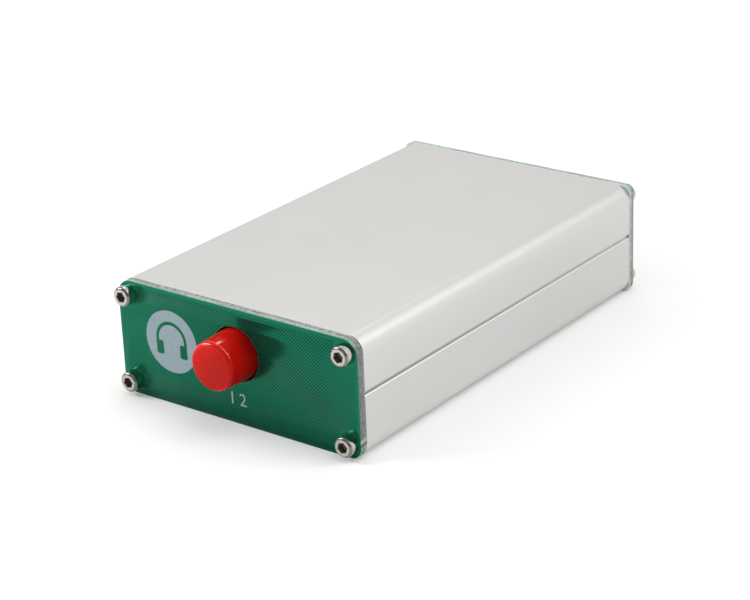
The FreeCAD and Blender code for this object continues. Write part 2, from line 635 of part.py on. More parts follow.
# ---------------------------------------------------------------- sockets
jack_nuts, jack_washers = [], []
jack_pins = []
mouth_y = rear_face + bush_out
bore_end = mouth_y - jack_reach
body_front = half_len - jack_body_len
for label, x in jack_xs:
    pre = label + "_jack_"
    # metal bush: flange behind the panel, thread through it
    bush = new_body(pre + "bush")
    outline = [(jack_bore, -2.0), (flange_ring, -2.0), (flange_ring, 0.0), (thread_ring - 0.05, 0.0),
               (thread_ring - 0.05, panel_thick + 0.1)]
    crest = 7
    y = panel_thick + 0.1
    for k in range(crest):
        outline += [(thread_ring - 0.22, y + thread_pitch * (k + 0.28)), (thread_ring, y + thread_pitch * (k + 0.72)),
                    (thread_ring, y + thread_pitch * (k + 0.86))]
    outline += [(thread_ring - 0.3, panel_thick + bush_out), (jack_bore + 0.25, panel_thick + bush_out),
                (jack_bore, panel_thick + bush_out - 0.25)]
    turned(bush, "Revolution", pre + "bush_turned", outline)
    bush.Placement = FreeCAD.Placement(V3(num(x), num(half_len), num(jack_z)), FreeCAD.Rotation(V3(1, 0, 0), -90))
    for axis, value in (("x", x), ("y", half_len), ("z", jack_z)):
        bush.setExpression(".Placement.Base." + axis, value.text)
    node(pre + "bush", bush)
    # moulded body with its bore, flange seat and contact channels
    blank = box(pre + "blank", x - jack_half, x + jack_half, body_front, half_len, board_top, board_top + jack_body_high)
    tools = [
        rod(pre + "bore", x, bore_end, jack_z, jack_bore, half_len - bore_end + 1, "y"),
        rod(pre + "seat", x, half_len - 2.0, jack_z, flange_ring + 0.05, 3.0, "y"),
        box(pre + "tip_slot", x - 4.9, x - 1.2, bore_end + 1.2, bore_end + 3.2, jack_z - 0.8, jack_z + 0.8),
        box(pre + "tip_channel", x - 4.9, x - 4.0, bore_end + 1.2, bore_end + 3.2, board_top - 1, jack_z + 0.8),
        box(pre + "ring_slot", x + 1.2, x + 4.9, bore_end + 3.9, bore_end + 5.9, jack_z - 0.8, jack_z + 0.8),
        box(pre + "ring_channel", x + 4.0, x + 4.9, bore_end + 3.9, bore_end + 5.9, board_top - 1, jack_z + 0.8),
        box(pre + "sleeve_channel", x - 0.9, x + 0.9, half_len - 1.6, half_len - 0.7, board_top - 1, board_top + 1.6),
    ]
    node(pre + "housing", cut(pre + "housing", blank, tools))
    # contacts
    for which, s, y0 in (("tip", -1, bore_end + 2.2), ("ring", 1, bore_end + 4.9)):
        cx = x + s * 2.2
        nib = rod(pre + which + "_nib", cx, y0, jack_z - 0.6, 0.3, 1.2)
        xa, xb = (x - 4.6, cx + 0.0) if s < 0 else (cx + 0.0, x + 4.6)
        arm = box(pre + which + "_arm", xa, xb, y0 - 0.15, y0 + 0.15, jack_z - 0.6, jack_z + 0.6)
        la, lb = (x - 4.6, x - 4.3) if s < 0 else (x + 4.3, x + 4.6)
        leg = box(pre + which + "_leg", la, lb, y0 - 0.6, y0 + 0.6, pin_end, jack_z + 0.6)
        node(pre + which + "_contact", fuse(pre + which + "_contact", [nib, arm, leg]))
        jack_pins.append(((la + lb) / 2, y0 + 0.0, 0.15, 0.6))
    sy = half_len - 1.15
    node(pre + "sleeve_contact", box(pre + "sleeve_contact", x - 0.6, x + 0.6, sy - 0.15, sy + 0.15,
                                     pin_end, jack_z - flange_ring - 0.03))
    jack_pins.append((x + 0.0, sy + 0.0, 0.6, 0.15))
    # washer and nut on the outside of the panel
    w = cut(pre + "washer", rod(pre + "washer_disc", x, rear_face, jack_z, washer_ring, washer_thick, "y"),
            [rod(pre + "washer_hole", x, rear_face - 1, jack_z, thread_ring + 0.1, washer_thick + 2, "y")])
    jack_washers.append(w)
    prism = doc.addObject("Part::Prism", pre + "nut_hex")
    prism.Polygon = 6
    prism.Circumradius = num(nut_flats / 2 * 1.1547005)
    prism.Height = num(nut_thick)
    bind(prism, "Circumradius", nut_flats / 2 * 1.1547005)
    bind(prism, "Height", nut_thick)
    place(prism, x, rear_face + washer_thick, jack_z, AXIS_ROT["y"])
    dome = cone(pre + "nut_chamfer", x, rear_face + washer_thick, jack_z, nut_flats / 2 + 2.0, nut_flats / 2 + 0.1, nut_thick, "y")
    faced = doc.addObject("Part::MultiCommon", pre + "nut_faced")
    faced.Shapes = [prism, dome]
    n = cut(pre + "nut", faced, [rod(pre + "nut_thread", x, rear_face, jack_z, thread_ring + 0.04, nut_thick + 2, "y")])
    jack_nuts.append(n)
node("jack_nuts", group("jack_nuts", jack_nuts))
node("jack_washers", group("jack_washers", jack_washers))

# ---------------------------------------------------------------- main board and its solder
board = new_body("main_board")
bw, bl = board_wide / 2, board_len / 2
slab(board, "Pad", "board_sheet", "XY", board_low, board_top, [[(-bw, -bl), (bw, -bl), (bw, bl), (-bw, bl)]])
round_holes = [(sx * 2.5, y, 0.6) for sx in (-1, 1) for y in rows]
slots = []
for px, py, hx, hy in jack_pins:
    slots.append([(px - hx - 0.12, py - hy - 0.12), (px + hx + 0.12, py - hy - 0.12),
                  (px + hx + 0.12, py + hy + 0.12), (px - hx - 0.12, py + hy + 0.12)])
for s, y in leg_spots:
    cx = s * (sh + ft / 2)
    slots.append([(cx - 0.4, y - 0.15), (cx + 0.4, y - 0.15), (cx + 0.4, y + 1.65), (cx - 0.4, y + 1.65)])
slab(board, "Pocket", "board_pin_holes", "XY", board_low - 1, board_top + 1, [], round_holes)
slab(board, "Pocket", "board_slots", "XY", board_low - 1, board_top + 1, slots)
node("main_board", board)

joints = []
for i, (px, py, pr) in enumerate([(sx * 2.5, y, 0.3) for sx in (-1, 1) for y in rows]):
    c = cone("solder_%d_blank" % i, px, py, board_low - 0.9, 0.5, 1.15, 0.9)
    hole = box("solder_%d_pin" % i, px - pr, px + pr, py - pr, py + pr, board_low - 2, board_low + 1)
    joints.append(cut("solder_%d" % i, c, [hole]))
for i, (px, py, hx, hy) in enumerate(jack_pins):
    c = cone("solder_j%d_blank" % i, px, py, board_low - 0.9, 0.7, 0.9, 0.9)
    hole = box("solder_j%d_pin" % i, px - hx, px + hx, py - hy, py + hy, board_low - 2, board_low + 1)
    joints.append(cut("solder_j%d" % i, c, [hole]))
for i, (s, y) in enumerate(leg_spots):
    cx = s * (sh + ft / 2)
    c = cone("solder_f%d_blank" % i, cx, y + 0.75, board_low - 0.9, 1.0, 1.5, 0.9)
    hole = box("solder_f%d_pin" % i, cx - ft / 2, cx + ft / 2, y, y + 1.5, board_low - 2, board_low + 1)
    joints.append(cut("solder_f%d" % i, c, [hole]))
node("solder_joints", group("solder_joints", joints))

# ---------------------------------------------------------------- check and write
doc.recompute()
bad = [o.Label for o in doc.Objects if "Invalid" in o.State or "Error" in o.State]
if bad:
    sys.exit("failed objects: " + ", ".join(bad))
for name, obj in nodes.items():
    shape = obj.Shape
    if shape.isNull() or not shape.isValid() or not shape.Solids:
        sys.exit("no valid solid in " + name)
os.makedirs("parts", exist_ok=True)
for old in os.listdir("parts"):
    if old.endswith(".step"):
        os.remove(os.path.join("parts", old))
for name, obj in nodes.items():
    obj.Shape.exportStep(os.path.join("parts", name + ".step"))
    bb = obj.Shape.BoundBox
    print("%-30s %2d solids %9.2f mm3  x %.2f..%.2f  y %.2f..%.2f  z %.2f..%.2f" % (
        name, len(obj.Shape.Solids), obj.Shape.Volume, bb.XMin, bb.XMax, bb.YMin, bb.YMax, bb.ZMin, bb.ZMax))
print(len(nodes), "nodes")
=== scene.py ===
import math

import bmesh
import bpy
from mathutils import Matrix, Vector


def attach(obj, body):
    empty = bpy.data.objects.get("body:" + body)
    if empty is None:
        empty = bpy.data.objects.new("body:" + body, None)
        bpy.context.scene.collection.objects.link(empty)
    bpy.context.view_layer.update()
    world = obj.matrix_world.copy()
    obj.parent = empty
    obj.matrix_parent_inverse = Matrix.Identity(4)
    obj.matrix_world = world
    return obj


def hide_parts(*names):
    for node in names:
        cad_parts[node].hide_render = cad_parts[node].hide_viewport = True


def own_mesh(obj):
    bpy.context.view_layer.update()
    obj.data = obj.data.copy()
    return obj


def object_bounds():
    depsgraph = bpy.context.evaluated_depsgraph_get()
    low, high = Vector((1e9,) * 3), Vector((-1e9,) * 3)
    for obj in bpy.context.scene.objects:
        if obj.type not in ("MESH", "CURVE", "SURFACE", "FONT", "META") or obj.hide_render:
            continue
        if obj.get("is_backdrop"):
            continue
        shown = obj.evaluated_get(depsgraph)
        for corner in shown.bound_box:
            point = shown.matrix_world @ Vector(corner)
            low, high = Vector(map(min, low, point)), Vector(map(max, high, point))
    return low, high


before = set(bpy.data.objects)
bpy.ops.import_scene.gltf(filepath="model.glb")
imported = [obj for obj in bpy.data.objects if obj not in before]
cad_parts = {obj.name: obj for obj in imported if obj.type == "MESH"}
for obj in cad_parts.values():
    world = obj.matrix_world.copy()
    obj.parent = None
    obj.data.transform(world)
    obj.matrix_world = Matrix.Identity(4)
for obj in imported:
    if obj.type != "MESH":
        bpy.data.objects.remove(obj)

cad_low, cad_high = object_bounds()
MM = 0.001
scene = bpy.context.scene
scene.view_settings.view_transform = "Standard"
scene.view_settings.look = "None"
scene.view_settings.exposure = 0.0
scene.view_settings.gamma = 1.0

# ---------------------------------------------------------------- camera
azimuth, elevation, roll = (math.radians(a) for a in (37.787, 22.751, -2.340))
target = Vector((38.317, -54.5, 37.333)) * MM
back = Vector((math.sin(azimuth) * math.cos(elevation), -math.cos(azimuth) * math.cos(elevation), math.sin(elevation)))
place = target + back * 441.831 * MM
right = (-back).cross(Vector((0, 0, 1))).normalized()
up = right.cross(-back)
cam_x = right * math.cos(roll) + up * math.sin(roll)
cam_y = up * math.cos(roll) - right * math.sin(roll)
cam_data = bpy.data.cameras.new("camera")
cam_data.lens = 2218.964 / 750 * 36
cam_data.sensor_width = 36
cam_data.clip_start, cam_data.clip_end = 0.01, 50
cam_data.shift_x, cam_data.shift_y = -0.5 / 750, 0.5 / 750
camera = bpy.data.objects.new("camera", cam_data)
scene.collection.objects.link(camera)
camera.matrix_world = Matrix((
    (cam_x.x, cam_y.x, back.x, place.x), (cam_x.y, cam_y.y, back.y, place.y),
    (cam_x.z, cam_y.z, back.z, place.z), (0, 0, 0, 1)))
scene.camera = camera


# ---------------------------------------------------------------- material helpers
class Tree:
    """A material's node tree with short calls for the nodes that these finishes use."""

    def __init__(self, name):
        self.material = bpy.data.materials.new(name)
        self.material.use_nodes = True
        self.nt = self.material.node_tree
        self.nt.nodes.clear()
        self.out = self.nt.nodes.new("ShaderNodeOutputMaterial")
        self.bsdf = self.nt.nodes.new("ShaderNodeBsdfPrincipled")
        self.nt.links.new(self.bsdf.outputs[0], self.out.inputs[0])
        self._coord = None

    def set(self, **values):
        names = {"base": "Base Color", "metallic": "Metallic", "rough": "Roughness", "ior": "IOR",
                 "spec": "Specular IOR Level", "coat": "Coat Weight", "coat_rough": "Coat Roughness",
                 "aniso": "Anisotropic", "sheen": "Sheen Weight", "sss": "Subsurface Weight",
                 "sss_scale": "Subsurface Scale", "trans": "Transmission Weight"}
        for k, v in values.items():
            socket = self.bsdf.inputs[names[k]]
            if isinstance(v, bpy.types.NodeSocket):
                self.nt.links.new(v, socket)
            else:
                socket.default_value = tuple(v) + (1.0,) if isinstance(v, (tuple, list)) and len(v) == 3 else v
        return self

    def node(self, kind, **props):
        n = self.nt.nodes.new(kind)
        for k, v in props.items():
            setattr(n, k, v)
        return n

    def link(self, a, b):
        self.nt.links.new(a, b)

    def place(self, scale=(1, 1, 1), turn=(0, 0, 0), shift=(0, 0, 0)):
        if self._coord is None:
            self._coord = self.node("ShaderNodeTexCoord")
        m = self.node("ShaderNodeMapping")
        m.inputs["Scale"].default_value = scale
        m.inputs["Rotation"].default_value = turn
        m.inputs["Location"].default_value = shift
        self.link(self._coord.outputs["Object"], m.inputs["Vector"])
        return m.outputs[0]

    def noise(self, scale, stretch=(1, 1, 1), detail=3.0, rough=0.55, turn=(0, 0, 0)):
        n = self.node("ShaderNodeTexNoise")
        n.inputs["Scale"].default_value = scale
        n.inputs["Detail"].default_value = detail
        n.inputs["Roughness"].default_value = rough
        self.link(self.place(stretch, turn), n.inputs["Vector"])
        return n.outputs["Fac"]

    def cells(self, scale, stretch=(1, 1, 1)):
        n = self.node("ShaderNodeTexVoronoi")
        n.inputs["Scale"].default_value = scale
        self.link(self.place(stretch), n.inputs["Vector"])
        return n.outputs["Distance"]

    def math(self, op, a, b=0.0, c=0.0, clamp=False):
        n = self.node("ShaderNodeMath", operation=op, use_clamp=clamp)
        for i, v in enumerate((a, b, c)):
            if isinstance(v, bpy.types.NodeSocket):
                self.link(v, n.inputs[i])
            else:
                n.inputs[i].default_value = v
        return n.outputs[0]

    def remap(self, v, a0, a1, b0, b1, smooth=False):
        n = self.node("ShaderNodeMapRange", clamp=True)
        n.interpolation_type = "SMOOTHSTEP" if smooth else "LINEAR"
        self.link(v, n.inputs["Value"])
        for key, x in (("From Min", a0), ("From Max", a1), ("To Min", b0), ("To Max", b1)):
            n.inputs[key].default_value = x
        return n.outputs["Result"]

    def mix(self, fac, a, b):
        n = self.node("ShaderNodeMix", data_type="RGBA")
        for socket, v in ((n.inputs[0], fac), (n.inputs[6], a), (n.inputs[7], b)):
            if isinstance(v, bpy.types.NodeSocket):
                self.link(v, socket)
            else:
                socket.default_value = tuple(v) + (1.0,) if isinstance(v, (tuple, list)) else v
        return n.outputs[2]

    def xyz(self):
        s = self.node("ShaderNodeSeparateXYZ")
        self.link(self.place(), s.inputs[0])
        return s.outputs

    def bump(self, height, strength=0.2, distance=0.00002, under=None):
        n = self.node("ShaderNodeBump")
        n.inputs["Strength"].default_value = strength
        n.inputs["Distance"].default_value = distance
        self.link(height, n.inputs["Height"])
        if under is not None:
            self.link(under, n.inputs["Normal"])
        self.link(n.outputs[0], self.bsdf.inputs["Normal"])
        return n.outputs[0]


def lin(r, g, b):
    """sRGB 0..255 to linear."""
    def one(v):
        v /= 255
        return v / 12.92 if v <= 0.04045 else ((v + 0.055) / 1.055) ** 2.4
    return (one(r), one(g), one(b))


# ---------------------------------------------------------------- materials
def aluminium():
    """Bead-blasted, clear anodised extrusion: fine grain, faint draw lines along the length."""
    t = Tree("anodised_aluminium")
    grain = t.noise(5200, detail=4, rough=0.7)
    lines = t.noise(900, (1.0, 0.012, 1.0), detail=3)
    cloud = t.noise(45, detail=2)
    tone = t.math("ADD", t.remap(grain, 0.3, 0.7, -0.6, 0.6), t.remap(lines, 0.3, 0.7, -0.12, 0.12))
    tone = t.math("ADD", tone, t.remap(cloud, 0.3, 0.7, -0.28, 0.28))
    clean = t.mix(t.remap(tone, -1.0, 1.0, 0.0, 1.0), (0.642, 0.639, 0.629), (0.698, 0.695, 0.685))
    x, y, z = t.xyz()
    # painted shade and light: the far end is darkened against the near one, everything below the top fillet a little
    # darker, and the lowest part of the side lifted again
    painted_falloff = t.math("MULTIPLY", t.remap(y, -52 * MM, 52 * MM, 0.975, 0.915), t.math("MULTIPLY", t.remap(z, 2 * MM, 15 * MM, 1.06, 1.0), t.remap(z, 18 * MM, 25.5 * MM, 0.965, 1.0)))
    painted_falloff_scale = t.node("ShaderNodeVectorMath", operation="SCALE")
    t.link(clean, painted_falloff_scale.inputs[0])
    t.link(painted_falloff, painted_falloff_scale.inputs["Scale"])
    clean = painted_falloff_scale.outputs[0]
    # painted shade: the floor of the two seam grooves is darkened as if in shadow, less towards the far end, and so is
    # the broken edge of the sawn ends
    deep = t.remap(t.math("ABSOLUTE", x), 32.62 * MM, 32.80 * MM, 1.0, 0.0)
    level = t.math("ABSOLUTE", t.math("SUBTRACT", t.math("ABSOLUTE", t.math("SUBTRACT", z, 13.5 * MM)), 1.075 * MM))
    groove = t.math("MULTIPLY", deep, t.remap(level, 0.42 * MM, 0.50 * MM, 1.0, 0.0))
    groove = t.math("MULTIPLY", groove, t.remap(y, -52 * MM, 52 * MM, 0.55, 0.1))
    sawn = t.remap(t.math("ABSOLUTE", y), 52.40 * MM, 52.44 * MM, 0.0, 1.0)
    painted_gap_shade = t.math("MAXIMUM", groove, t.math("MULTIPLY", sawn, 0.9))
    t.set(base=t.mix(painted_gap_shade, clean, (0.17, 0.165, 0.155)), metallic=1.0, rough=t.remap(grain, 0.25, 0.75, 0.37, 0.45))
    low = t.bump(lines, 0.03, 0.000006)
    t.bump(grain, 0.16, 0.000012, under=low)
    return t.material


def mask_face(name, hatch_left):
    """Green solder mask over hatched copper: lines at 45 degrees, plain margins along the outline and
    round the holes, where the board shows lighter through the mask."""
    t = Tree(name)
    x, y, z = t.xyz()
    pitch = 0.5305 * MM
    along = t.math("MULTIPLY", t.math("SUBTRACT", x, z), 0.70710678)
    wave = t.math("ABSOLUTE", t.math("SUBTRACT", t.math("FRACT", t.math("DIVIDE", along, pitch)), 0.5))
    line = t.remap(wave, 0.17, 0.31, 0.0, 1.0, smooth=True)
    # the hatched field: inside a rounded rectangle, clear of the four screws
    fx = t.math("SUBTRACT", t.math("ABSOLUTE", x), 32.35 * MM)
    high = t.math("SUBTRACT", t.math("SUBTRACT", z, 13.5 * MM), 12.75 * MM)
    deep = t.math("SUBTRACT", t.math("SUBTRACT", 13.5 * MM, z), 13.15 * MM)
    field = t.remap(t.math("MAXIMUM", fx, t.math("MAXIMUM", high, deep)), -0.30 * MM, 0.10 * MM, 1.0, 0.0, smooth=True)
    dx = t.math("SUBTRACT", t.math("ABSOLUTE", x), 30.0 * MM)
    dz = t.math("SUBTRACT", t.math("ABSOLUTE", t.math("SUBTRACT", z, 13.5 * MM)), 10.25 * MM)
    away = t.math("SQRT", t.math("ADD", t.math("MULTIPLY", dx, dx), t.math("MULTIPLY", dz, dz)))
    pads = t.remap(away, 3.35 * MM, 3.45 * MM, 0.0, 1.0)
    hatched = t.math("MULTIPLY", field, pads)
    cloud = t.noise(160, detail=3)
    film = t.noise(220, detail=2)
    copper = t.mix(t.remap(cloud, 0.3, 0.7, 0.0, 1.0), (0.0120, 0.180, 0.106), (0.0136, 0.197, 0.117))
    gap = t.mix(t.remap(cloud, 0.3, 0.7, 0.0, 1.0), (0.0032, 0.065, 0.0375), (0.0040, 0.073, 0.042))
    # the hatch starts along a slant and is faintest at its right end
    start = t.math("ADD", x, t.math("MULTIPLY", t.math("SUBTRACT", z, 24.0 * MM), 0.30))
    depth = t.remap(start, (hatch_left - 0.6) * MM, (hatch_left + 4.5) * MM, 0.0, 1.0, smooth=True)
    depth = t.math("MULTIPLY", depth, t.remap(x, 22.0 * MM, 31.0 * MM, 1.0, 0.52, smooth=True))
    plane = t.mix(t.remap(cloud, 0.3, 0.7, 0.0, 1.0), (0.0100, 0.145, 0.083), (0.0114, 0.160, 0.093))
    field_colour = t.mix(depth, plane, t.mix(line, gap, copper))
    margin = (0.0115, 0.170, 0.098)
    # painted shade: the whole face darkens towards the bottom edge, standing in for the shadowed floor near the box
    # reflected in the glossy mask
    low = t.remap(z, 0.0 * MM, 5.8 * MM, 0.56, 1.0, smooth=True)
    bottom_shaded = t.node("ShaderNodeMix", data_type="RGBA", blend_type="MULTIPLY")
    bottom_shaded.inputs[0].default_value = 1.0
    t.link(t.mix(hatched, margin, field_colour), bottom_shaded.inputs[6])
    t.link(t.mix(low, (0.0, 0.0, 0.0), (0.94, 0.93, 0.89)), bottom_shaded.inputs[7])
    t.set(base=bottom_shaded.outputs[2], metallic=0.62, rough=t.remap(film, 0.3, 0.7, 0.21, 0.24),
          coat=0.0, spec=0.05)
    t.bump(t.math("ADD", t.math("MULTIPLY", line, hatched), film), 0.05, 0.00002)
    return t.material


def board_edge(name, y_start, pale, dark, painted_side_shade, film_colour, skin=0.0, tab=-99.0, glow=0.0):
    """Milled edge of the glass-epoxy board: layers of glass bundles, paler to the front, grainy behind."""
    t = Tree(name)
    x, y, z = t.xyz()
    layers = t.noise(2600, (0.05, 1.0, 0.05), detail=2)
    bundles = t.noise(1300, (1.0, 0.8, 1.0), detail=3, rough=0.7)
    speck = t.noise(2900, detail=3, rough=0.75)
    tone = t.math("ADD", t.math("MULTIPLY", layers, 0.3), t.math("ADD", t.math("MULTIPLY", bundles, 0.4), t.math("MULTIPLY", speck, 0.4)))
    grain = t.remap(tone, 0.48, 0.62, 0.0, 1.0)
    front = t.remap(y, (y_start + 0.75) * MM, (y_start + 1.0) * MM, 1.0, 0.0, smooth=True)
    cheek = t.remap(t.math("ABSOLUTE", x), 31.6 * MM, 32.8 * MM, 0.0, 1.0, smooth=True)
    rim = t.remap(y, (y_start + 1.6) * MM, (y_start + 1.75) * MM, 0.0, 1.0, smooth=True)
    weight = t.mix(cheek, t.mix(front, (0.12, 0.12, 0.12), (0.62, 0.62, 0.62)), t.mix(rim, (0.30, 0.30, 0.30), (0.9, 0.9, 0.9)))
    base = t.mix(weight, dark, pale)
    speckled = t.mix(grain, t.mix(0.5, base, (0.02, 0.035, 0.03)), t.mix(0.45, base, pale))
    film = t.remap(y, (y_start + 0.1 + skin) * MM, (y_start + 0.4 + skin) * MM, 0.75, 0.0, smooth=True)
    speckled = t.mix(film, speckled, film_colour)
    # where the board was broken out of its frame: a paler, rougher spot on the right edge
    right = t.remap(x, 32.3 * MM, 32.8 * MM, 0.0, 1.0)
    slant = t.math("ADD", z, t.math("MULTIPLY", t.math("SUBTRACT", y, -53.5 * MM), -0.18))
    scar = t.math("MULTIPLY", right, t.remap(t.math("ABSOLUTE", t.math("SUBTRACT", slant, tab * MM)), 0.25 * MM, 0.60 * MM, 0.75, 0.0, smooth=True))
    notch = t.math("MULTIPLY", right, t.remap(t.math("ABSOLUTE", t.math("SUBTRACT", slant, (tab - 0.85) * MM)), 0.10 * MM, 0.32 * MM, 0.7, 0.0, smooth=True))
    torn = t.math("MULTIPLY", t.math("MULTIPLY", right, t.remap(slant, (tab - 3.6) * MM, (tab - 3.0) * MM, 0.0, 1.0)),
                  t.math("MULTIPLY", t.remap(slant, (tab - 1.2) * MM, (tab - 1.0) * MM, 0.6, 0.0), t.remap(speck, 0.45, 0.58, 0.3, 1.0)))
    speckled = t.mix(torn, speckled, (0.66, 0.75, 0.71))
    speckled = t.mix(scar, speckled, (0.74, 0.79, 0.76))
    speckled = t.mix(notch, speckled, (0.04, 0.085, 0.065))
    # painted shade: the two side edges are multiplied darker than the top and bottom edges, as they get less light;
    # where glow is set, a band next to the face at y_start is lifted part of the way back
    low = tuple(v * painted_side_shade for v in (1.0, 1.0, 1.0))
    band = t.math("MINIMUM", t.remap(y, y_start * MM, (y_start + 0.5) * MM, 0.85, 1.0), t.remap(y, (y_start + 1.0) * MM, (y_start + 1.6) * MM, 1.0, 0.0))
    shade_side = t.node("ShaderNodeMix", data_type="RGBA", blend_type="MULTIPLY")
    t.link(cheek, shade_side.inputs[0])
    t.link(speckled, shade_side.inputs[6])
    t.link(t.mix(t.math("MULTIPLY", band, glow), low, tuple(v * painted_side_shade * 1.62 for v in (1.0, 0.95, 0.955))), shade_side.inputs[7])
    t.set(base=shade_side.outputs[2], rough=0.6, spec=0.3)
    t.bump(tone, 0.5, 0.00006)
    return t.material


def nickel(name="bright_nickel", shade=1.0, rough=(0.08, 0.13)):
    """Bright plating over turned metal, with faint clouds; shade darkens the base, which for the screw shoulders
    paints a dark reflection, and gloss differs from piece to piece.
    """
    t = Tree(name)
    grain = t.noise(3500, detail=3)
    cloud = t.noise(600, detail=2)
    dark, light = (tuple(v * shade for v in c) for c in ((0.455, 0.432, 0.398), (0.535, 0.512, 0.478)))
    t.set(base=t.mix(cloud, dark, light), metallic=1.0, rough=t.remap(grain, 0.3, 0.7, *rough))
    t.bump(grain, 0.06, 0.00001)
    return t.material


def hex_dark():
    """Inside of the hexagon sockets: dark, dull and only partly metallic."""
    t = Tree("socket_recess")
    grain = t.noise(4200, detail=3)
    t.set(base=t.mix(grain, (0.10, 0.078, 0.062), (0.185, 0.145, 0.118)), metallic=0.35, rough=0.42)
    t.bump(grain, 0.2, 0.00001)
    return t.material


def red_plastic():
    t = Tree("red_cap_plastic")
    x, y, z = t.xyz()
    cloud = t.noise(260, detail=2)
    fine = t.noise(2600, detail=3)
    # painted shade: the lower part of the side is darker, as less light reaches it from below
    under = t.remap(z, 10.8 * MM, 18.5 * MM, 0.0, 1.0, smooth=True)
    flank = t.mix(under, (0.285, 0.0026, 0.0017), t.mix(cloud, (0.475, 0.0056, 0.0033), (0.53, 0.0070, 0.0042)))
    # painted shade: the side is darkened on the right towards the panel
    painted_right_shade = t.node("ShaderNodeVectorMath", operation="SCALE")
    t.link(flank, painted_right_shade.inputs[0])
    t.link(t.math("SUBTRACT", 1.0, t.math("MULTIPLY", t.remap(x, 1.0 * MM, 5.0 * MM, 0.0, 0.40, smooth=True),
                                          t.remap(y, -60.0 * MM, -54.8 * MM, 0.0, 1.0, smooth=True))), painted_right_shade.inputs["Scale"])
    flank = painted_right_shade.outputs[0]
    # painted light: the moulded face is paler than the side, most of all to the upper left, as if lit from there
    lean = t.math("SUBTRACT", t.math("SUBTRACT", z, 16.35 * MM), x)
    head = t.mix(cloud, t.mix(t.remap(lean, -2.0 * MM, 7.5 * MM, 0.0, 1.0, smooth=True), (0.44, 0.0060, 0.0034), (0.60, 0.0080, 0.0044)),
                 t.mix(t.remap(lean, -2.0 * MM, 7.5 * MM, 0.0, 1.0, smooth=True), (0.475, 0.0074, 0.0042), (0.645, 0.0094, 0.0053)))
    # painted highlights: on the upper half both edges of the rim get a brighter red and more gloss; the face and the
    # side less
    inner = t.math("MINIMUM", t.remap(y, -62.37 * MM, -62.31 * MM, 0.0, 1.0), t.remap(y, -62.08 * MM, -61.98 * MM, 1.0, 0.0))
    inner = t.math("MULTIPLY", inner, t.remap(x, -0.8 * MM, 1.2 * MM, 1.0, 0.0, smooth=True))
    outer = t.math("MINIMUM", t.remap(y, -61.72 * MM, -61.62 * MM, 0.0, 0.9), t.remap(y, -61.50 * MM, -61.36 * MM, 0.9, 0.0))
    painted_rim_highlight = t.math("MULTIPLY", t.math("ADD", inner, outer), t.remap(z, 17.3 * MM, 20.3 * MM, 0.0, 0.85, smooth=True))
    # painted highlight: a short bright streak runs back from the rim along the top of the side
    streak = t.math("MINIMUM", t.remap(t.math("ABSOLUTE", t.math("SUBTRACT", x, 1.35 * MM)), 0.12 * MM, 0.50 * MM, 0.9, 0.0, smooth=True),
                    t.math("MINIMUM", t.remap(y, -61.9 * MM, -61.7 * MM, 0.0, 0.9), t.remap(y, -60.7 * MM, -59.7 * MM, 0.9, 0.0, smooth=True)))
    painted_rim_highlight = t.math("MAXIMUM", painted_rim_highlight, t.math("MULTIPLY", streak, t.remap(z, 19.0 * MM, 20.5 * MM, 0.0, 1.0)))
    skin = t.mix(t.remap(y, -62.3 * MM, -61.9 * MM, 1.0, 0.0, smooth=True), flank, head)
    t.set(base=t.mix(t.math("MULTIPLY", painted_rim_highlight, 0.8), skin, (0.90, 0.012, 0.007)), rough=t.remap(fine, 0.3, 0.7, 0.09, 0.12), coat=0.0, sss=0.4, sss_scale=0.002)
    t.set(spec=t.math("ADD", painted_rim_highlight, t.remap(y, -62.1 * MM, -61.3 * MM, 0.10, 0.05)))
    t.bsdf.inputs["Subsurface Radius"].default_value = (1.0, 0.06, 0.04)
    t.bump(fine, 0.04, 0.00001)
    return t.material


def ink():
    """Screen-printed legend: pale blue-grey, thin and slightly uneven."""
    t = Tree("legend_ink")
    cloud = t.noise(900, detail=3)
    fine = t.noise(6000, detail=3)
    t.set(base=t.mix(t.remap(cloud, 0.3, 0.7, 0.0, 1.0), lin(134, 154, 162), lin(145, 164, 171)), rough=0.48, spec=0.4)
    t.bump(t.math("ADD", fine, cloud), 0.15, 0.00001)
    return t.material


def plain(name, dark, light, scale, rough, metallic=0.0, bump=0.1, stretch=(1, 1, 1), **more):
    t = Tree(name)
    n = t.noise(scale, stretch, detail=3)
    r0, r1 = rough
    t.set(base=t.mix(t.remap(n, 0.3, 0.7, 0.0, 1.0), dark, light), metallic=metallic, rough=t.remap(n, 0.3, 0.7, r0, r1), **more)
    t.bump(n, bump, 0.00002)
    return t.material


